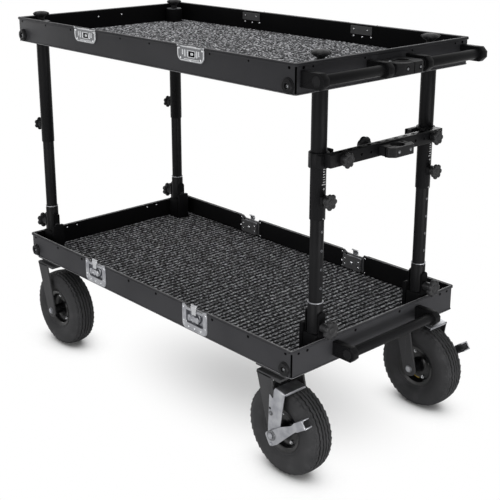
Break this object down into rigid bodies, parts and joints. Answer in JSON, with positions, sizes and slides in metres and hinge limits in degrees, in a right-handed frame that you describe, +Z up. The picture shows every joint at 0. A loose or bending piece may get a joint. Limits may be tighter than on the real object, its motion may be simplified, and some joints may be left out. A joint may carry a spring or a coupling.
{
  "type": "camera cart",
  "caption": "Two-tray camera cart on swivel casters, with telescoping posts, push handles and a clamp crossbar, for moving film gear.",
  "frame": {"origin": "on the floor, under the centre of the cart's outline", "axes": "+X towards the push handles, +Y to the right of someone facing the handles' end of the cart from behind them, +Z up"},
  "size_m": [1.3266, 0.694, 1.1008],
  "materials": {
    "tray_black": "fine black powder coat on bent aluminium sheet, satin",
    "deck_black": "black coated aluminium",
    "carpet": "charcoal ribbed loop carpet with light flecks",
    "tube_black": "black anodised aluminium tube, satin",
    "clamp_black": "black anodised machined aluminium",
    "fork_grey": "dark grey coated pressed steel",
    "rim_black": "black coated pressed steel wheel",
    "tyre_rubber": "matt ribbed pneumatic tyre rubber",
    "zinc_plate": "bright zinc plated pressed steel",
    "knob_black": "black moulded plastic, fine texture"
  },
  "bodies": {
    "base": {"lower_frame": "tray_black", "lower_deck": "deck_black", "lower_carpet": "carpet", "lower_handle": "tube_black", "inner_post_handle_left": "tube_black", "inner_post_handle_right": "tube_black", "inner_post_far_left": "tube_black", "inner_post_far_right": "tube_black"},
    "upper_tray": {"upper_frame": "tray_black", "upper_deck": "deck_black", "upper_carpet": "carpet", "upper_handle_left": "tube_black", "upper_handle_right": "tube_black", "pole_clamp": "clamp_black", "outer_post_handle_left": "tube_black", "outer_post_handle_right": "tube_black", "outer_post_far_left": "tube_black", "outer_post_far_right": "tube_black"},
    "crossbar": {"crossbar": "tube_black", "bar_clamp_left": "clamp_black", "bar_clamp_right": "clamp_black", "stand_clamp": "clamp_black"},
    "caster_handle_left": {"caster_fork_handle_left": "fork_grey"},
    "wheel_handle_left": {"wheel_rim_handle_left": "rim_black", "tyre_handle_left": "tyre_rubber"},
    "brake_handle_left": {"brake_lever_handle_left": "zinc_plate"},
    "foot_knob_handle_left": {"foot_knob_handle_left": "knob_black"},
    "height_knob_handle_left": {"height_knob_handle_left": "knob_black"},
    "top_knob_handle_left": {"top_knob_handle_left": "knob_black"},
    "caster_handle_right": {"caster_fork_handle_right": "fork_grey"},
    "wheel_handle_right": {"wheel_rim_handle_right": "rim_black", "tyre_handle_right": "tyre_rubber"},
    "brake_handle_right": {"brake_lever_handle_right": "zinc_plate"},
    "foot_knob_handle_right": {"foot_knob_handle_right": "knob_black"},
    "height_knob_handle_right": {"height_knob_handle_right": "knob_black"},
    "top_knob_handle_right": {"top_knob_handle_right": "knob_black"},
    "caster_far_left": {"caster_fork_far_left": "fork_grey"},
    "wheel_far_left": {"wheel_rim_far_left": "rim_black", "tyre_far_left": "tyre_rubber"},
    "foot_knob_far_left": {"foot_knob_far_left": "knob_black"},
    "height_knob_far_left": {"height_knob_far_left": "knob_black"},
    "top_knob_far_left": {"top_knob_far_left": "knob_black"},
    "caster_far_right": {"caster_fork_far_right": "fork_grey"},
    "wheel_far_right": {"wheel_rim_far_right": "rim_black", "tyre_far_right": "tyre_rubber"},
    "foot_knob_far_right": {"foot_knob_far_right": "knob_black"},
    "height_knob_far_right": {"height_knob_far_right": "knob_black"},
    "top_knob_far_right": {"top_knob_far_right": "knob_black"},
    "bar_clamp_knob_left": {"bar_clamp_knob_left": "knob_black"},
    "bar_clamp_knob_right": {"bar_clamp_knob_right": "knob_black"},
    "stand_clamp_knob": {"stand_clamp_knob": "knob_black"},
    "latch_wing_left_handle": {"latch_wing_left_handle": "zinc_plate"},
    "latch_hook_left_handle": {"latch_hook_left_handle": "zinc_plate"},
    "latch_wing_left_far": {"latch_wing_left_far": "zinc_plate"},
    "latch_hook_left_far": {"latch_hook_left_far": "zinc_plate"},
    "latch_wing_right_handle": {"latch_wing_right_handle": "zinc_plate"},
    "latch_hook_right_handle": {"latch_hook_right_handle": "zinc_plate"},
    "latch_wing_right_far": {"latch_wing_right_far": "zinc_plate"},
    "latch_hook_right_far": {"latch_hook_right_far": "zinc_plate"}
  },
  "joints": [
    {"name": "tray_height", "type": "slide", "parent": "base", "child": "upper_tray", "axis": [0, 0, 1], "range_m": [-0.2, 0.1]},
    {"name": "crossbar_height", "type": "slide", "parent": "upper_tray", "child": "crossbar", "axis": [0, 0, 1], "range_m": [-0.05, 0.13]},
    {"name": "caster_swivel_handle_left", "type": "hinge", "parent": "base", "child": "caster_handle_left", "pos_m": [0.50525, -0.2727, 0.278], "axis": [0, 0, 1], "continuous": true},
    {"name": "wheel_roll_handle_left", "type": "hinge", "parent": "caster_handle_left", "child": "wheel_handle_left", "pos_m": [0.52925, -0.2727, 0.1245], "axis": [0, 1, 0], "continuous": true},
    {"name": "brake_press_handle_left", "type": "hinge", "parent": "caster_handle_left", "child": "brake_handle_left", "pos_m": [0.52925, -0.2727, 0.1245], "axis": [0, 1, 0], "range_deg": [0, 25]},
    {"name": "foot_knob_handle_left_turn", "type": "hinge", "parent": "base", "child": "foot_knob_handle_left", "pos_m": [0.54825, -0.208, 0.4003], "axis": [1, 0, 0], "range_deg": [0, 540]},
    {"name": "height_knob_handle_left_turn", "type": "hinge", "parent": "upper_tray", "child": "height_knob_handle_left", "pos_m": [0.54825, -0.208, 0.7343], "axis": [1, 0, 0], "range_deg": [0, 540]},
    {"name": "top_knob_handle_left_turn", "type": "hinge", "parent": "upper_tray", "child": "top_knob_handle_left", "pos_m": [0.54825, -0.208, 1.0688], "axis": [0, 0, 1], "range_deg": [0, 540]},
    {"name": "caster_swivel_handle_right", "type": "hinge", "parent": "base", "child": "caster_handle_right", "pos_m": [0.50525, 0.2727, 0.278], "axis": [0, 0, 1], "continuous": true},
    {"name": "wheel_roll_handle_right", "type": "hinge", "parent": "caster_handle_right", "child": "wheel_handle_right", "pos_m": [0.52925, 0.2727, 0.1245], "axis": [0, 1, 0], "continuous": true},
    {"name": "brake_press_handle_right", "type": "hinge", "parent": "caster_handle_right", "child": "brake_handle_right", "pos_m": [0.52925, 0.2727, 0.1245], "axis": [0, 1, 0], "range_deg": [0, 25]},
    {"name": "foot_knob_handle_right_turn", "type": "hinge", "parent": "base", "child": "foot_knob_handle_right", "pos_m": [0.54825, 0.208, 0.4003], "axis": [1, 0, 0], "range_deg": [0, 540]},
    {"name": "height_knob_handle_right_turn", "type": "hinge", "parent": "upper_tray", "child": "height_knob_handle_right", "pos_m": [0.54825, 0.208, 0.7343], "axis": [1, 0, 0], "range_deg": [0, 540]},
    {"name": "top_knob_handle_right_turn", "type": "hinge", "parent": "upper_tray", "child": "top_knob_handle_right", "pos_m": [0.54825, 0.208, 1.0688], "axis": [0, 0, 1], "range_deg": [0, 540]},
    {"name": "caster_swivel_far_left", "type": "hinge", "parent": "base", "child": "caster_far_left", "pos_m": [-0.55875, -0.2727, 0.278], "axis": [0, 0, 1], "continuous": true},
    {"name": "wheel_roll_far_left", "type": "hinge", "parent": "caster_far_left", "child": "wheel_far_left", "pos_m": [-0.53475, -0.2727, 0.1245], "axis": [0, 1, 0], "continuous": true},
    {"name": "foot_knob_far_left_turn", "type": "hinge", "parent": "base", "child": "foot_knob_far_left", "pos_m": [-0.60175, -0.266, 0.4003], "axis": [-1, 0, 0], "range_deg": [0, 540]},
    {"name": "height_knob_far_left_turn", "type": "hinge", "parent": "upper_tray", "child": "height_knob_far_left", "pos_m": [-0.60175, -0.266, 0.7343], "axis": [-1, 0, 0], "range_deg": [0, 540]},
    {"name": "top_knob_far_left_turn", "type": "hinge", "parent": "upper_tray", "child": "top_knob_far_left", "pos_m": [-0.60175, -0.266, 1.0688], "axis": [0, 0, 1], "range_deg": [0, 540]},
    {"name": "caster_swivel_far_right", "type": "hinge", "parent": "base", "child": "caster_far_right", "pos_m": [-0.55875, 0.2727, 0.278], "axis": [0, 0, 1], "continuous": true},
    {"name": "wheel_roll_far_right", "type": "hinge", "parent": "caster_far_right", "child": "wheel_far_right", "pos_m": [-0.53475, 0.2727, 0.1245], "axis": [0, 1, 0], "continuous": true},
    {"name": "foot_knob_far_right_turn", "type": "hinge", "parent": "base", "child": "foot_knob_far_right", "pos_m": [-0.60175, 0.266, 0.4003], "axis": [-1, 0, 0], "range_deg": [0, 540]},
    {"name": "height_knob_far_right_turn", "type": "hinge", "parent": "upper_tray", "child": "height_knob_far_right", "pos_m": [-0.60175, 0.266, 0.7343], "axis": [-1, 0, 0], "range_deg": [0, 540]},
    {"name": "top_knob_far_right_turn", "type": "hinge", "parent": "upper_tray", "child": "top_knob_far_right", "pos_m": [-0.60175, 0.266, 1.0688], "axis": [0, 0, 1], "range_deg": [0, 540]},
    {"name": "bar_clamp_knob_left_turn", "type": "hinge", "parent": "crossbar", "child": "bar_clamp_knob_left", "pos_m": [0.54825, -0.174, 0.8378], "axis": [1, 0, 0], "range_deg": [0, 540]},
    {"name": "bar_clamp_knob_right_turn", "type": "hinge", "parent": "crossbar", "child": "bar_clamp_knob_right", "pos_m": [0.54825, 0.174, 0.8378], "axis": [1, 0, 0], "range_deg": [0, 540]},
    {"name": "stand_clamp_knob_turn", "type": "hinge", "parent": "crossbar", "child": "stand_clamp_knob", "pos_m": [0.57525, -0.036, 0.8378], "axis": [-1, 0, 0], "range_deg": [0, 540]},
    {"name": "latch_turn_left_handle", "type": "hinge", "parent": "base", "child": "latch_wing_left_handle", "pos_m": [0.21125, -0.326, 0.3393], "axis": [0, -1, 0], "range_deg": [0, 180]},
    {"name": "latch_lift_left_handle", "type": "slide", "parent": "base", "child": "latch_hook_left_handle", "axis": [0, 0, 1], "range_m": [0, 0.008]},
    {"name": "latch_turn_left_far", "type": "hinge", "parent": "base", "child": "latch_wing_left_far", "pos_m": [-0.26475, -0.326, 0.3393], "axis": [0, -1, 0], "range_deg": [0, 180]},
    {"name": "latch_lift_left_far", "type": "slide", "parent": "base", "child": "latch_hook_left_far", "axis": [0, 0, 1], "range_m": [0, 0.008]},
    {"name": "latch_turn_right_handle", "type": "hinge", "parent": "base", "child": "latch_wing_right_handle", "pos_m": [0.21125, 0.326, 0.3393], "axis": [0, 1, 0], "range_deg": [0, 180]},
    {"name": "latch_lift_right_handle", "type": "slide", "parent": "base", "child": "latch_hook_right_handle", "axis": [0, 0, 1], "range_m": [0, 0.008]},
    {"name": "latch_turn_right_far", "type": "hinge", "parent": "base", "child": "latch_wing_right_far", "pos_m": [-0.26475, 0.326, 0.3393], "axis": [0, 1, 0], "range_deg": [0, 180]},
    {"name": "latch_lift_right_far", "type": "slide", "parent": "base", "child": "latch_hook_right_far", "axis": [0, 0, 1], "range_m": [0, 0.008]}
  ],
  "couplings": [
    {"joint": "latch_turn_left_handle", "follows": "latch_lift_left_handle", "rad_per_m": 392.6},
    {"joint": "latch_turn_left_far", "follows": "latch_lift_left_far", "rad_per_m": 392.6},
    {"joint": "latch_turn_right_handle", "follows": "latch_lift_right_handle", "rad_per_m": 392.6},
    {"joint": "latch_turn_right_far", "follows": "latch_lift_right_far", "rad_per_m": 392.6}
  ]
}
